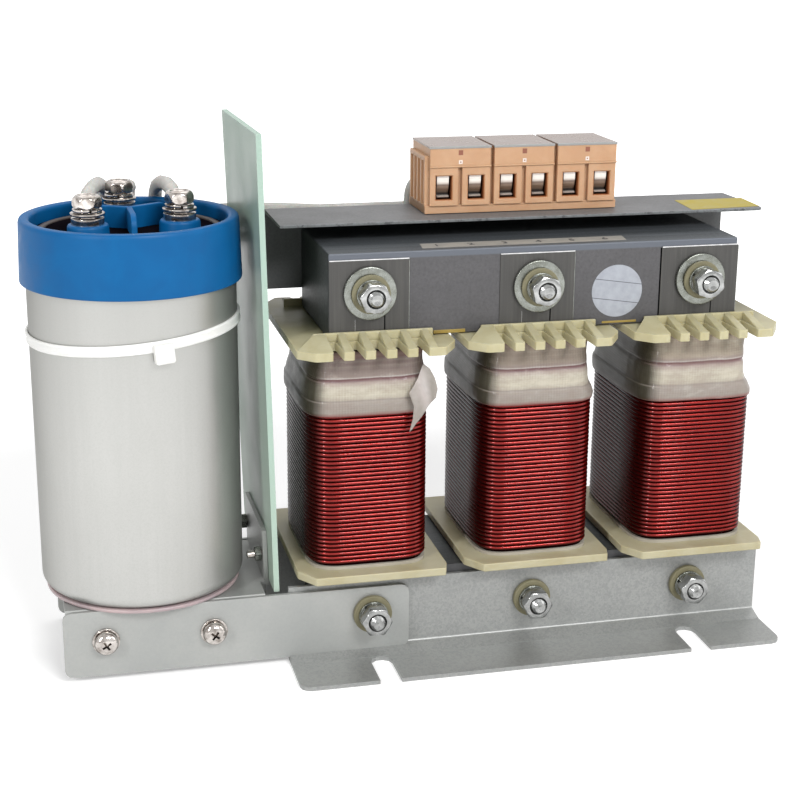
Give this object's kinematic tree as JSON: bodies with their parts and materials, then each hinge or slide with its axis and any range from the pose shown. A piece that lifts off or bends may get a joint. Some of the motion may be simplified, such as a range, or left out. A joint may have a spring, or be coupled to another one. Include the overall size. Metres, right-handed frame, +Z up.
{
  "type": "sine wave filter",
  "caption": "Sine wave filter: wound coils on a laminated core with foot angles, a terminal block on a top plate and a round filter capacitor behind a barrier sheet at one side.",
  "frame": {"origin": "centre of the bounding box in plan, at the underside of the feet", "axes": "+X along the core from the capacitor to the reactor's right end, +Y from the front with the nuts to the rear, +Z up"},
  "size_m": [0.3575, 0.1406, 0.2528],
  "materials": {
    "lamination_steel": "varnished electrical steel sheets, dull brownish grey",
    "galvanised_steel": "zinc coated sheet, fine spangle, satin",
    "grey_painted_steel": "satin grey paint",
    "zinc_plated_steel": "bright zinc plating",
    "insulating_fibre": "cream insulating fibre",
    "bobbin_plastic": "ivory moulded plastic, slightly translucent",
    "enamelled_copper": "glossy dark red wire enamel",
    "insulating_tape": "whitish translucent tape",
    "terminal_plastic": "peach moulded plastic",
    "glass_epoxy_sheet": "pale grey green glass laminate",
    "can_aluminium": "satin drawn aluminium",
    "cap_plastic": "satin blue moulded plastic",
    "pad_plastic": "thin greyish plastic disc",
    "white_nylon": "white nylon",
    "lead_sleeve": "white insulating sleeve"
  },
  "bodies": {
    "root": {"barrier_screw_1": "zinc_plated_steel", "barrier_screw_2": "zinc_plated_steel", "barrier_sheet": "glass_epoxy_sheet", "base_pad": "pad_plastic", "bobbin_centre": "bobbin_plastic", "bobbin_left": "bobbin_plastic", "bobbin_right": "bobbin_plastic", "cable_tie": "white_nylon", "cap_ring": "cap_plastic", "capacitor_can": "can_aluminium", "capacitor_lead_1": "lead_sleeve", "capacitor_lead_2": "lead_sleeve", "capacitor_lead_3": "lead_sleeve", "capacitor_lid": "cap_plastic", "capacitor_terminal_1": "zinc_plated_steel", "capacitor_terminal_2": "zinc_plated_steel", "capacitor_terminal_3": "zinc_plated_steel", "capacitor_tray": "galvanised_steel", "core_lower": "lamination_steel", "core_upper_yoke": "lamination_steel", "front_foot_bracket": "galvanised_steel", "front_strip": "galvanised_steel", "front_strip_screw_1": "zinc_plated_steel", "front_strip_screw_2": "zinc_plated_steel", "lower_bolt_centre": "zinc_plated_steel", "lower_bolt_left": "zinc_plated_steel", "lower_bolt_right": "zinc_plated_steel", "lower_insulator_centre": "insulating_fibre", "lower_insulator_left": "insulating_fibre", "lower_insulator_right": "insulating_fibre", "lower_nut_centre": "zinc_plated_steel", "lower_nut_left": "zinc_plated_steel", "lower_nut_right": "zinc_plated_steel", "rear_foot_bracket": "galvanised_steel", "rear_strip": "galvanised_steel", "rear_strip_screw_1": "zinc_plated_steel", "rear_strip_screw_2": "zinc_plated_steel", "tape_wrap_centre": "insulating_tape", "tape_wrap_left": "insulating_tape", "tape_wrap_right": "insulating_tape", "terminal_end_plate": "terminal_plastic", "terminal_module_1": "terminal_plastic", "terminal_module_2": "terminal_plastic", "terminal_module_3": "terminal_plastic", "top_plate": "grey_painted_steel", "upper_bolt_centre": "zinc_plated_steel", "upper_bolt_left": "zinc_plated_steel", "upper_bolt_right": "zinc_plated_steel", "upper_insulator_centre": "insulating_fibre", "upper_insulator_left": "insulating_fibre", "upper_insulator_right": "insulating_fibre", "upper_nut_centre": "zinc_plated_steel", "upper_nut_left": "zinc_plated_steel", "upper_nut_right": "zinc_plated_steel", "upper_washer_centre": "zinc_plated_steel", "upper_washer_left": "zinc_plated_steel", "upper_washer_right": "zinc_plated_steel", "winding_centre": "enamelled_copper", "winding_left": "enamelled_copper", "winding_right": "enamelled_copper"}
  },
  "joints": []
}
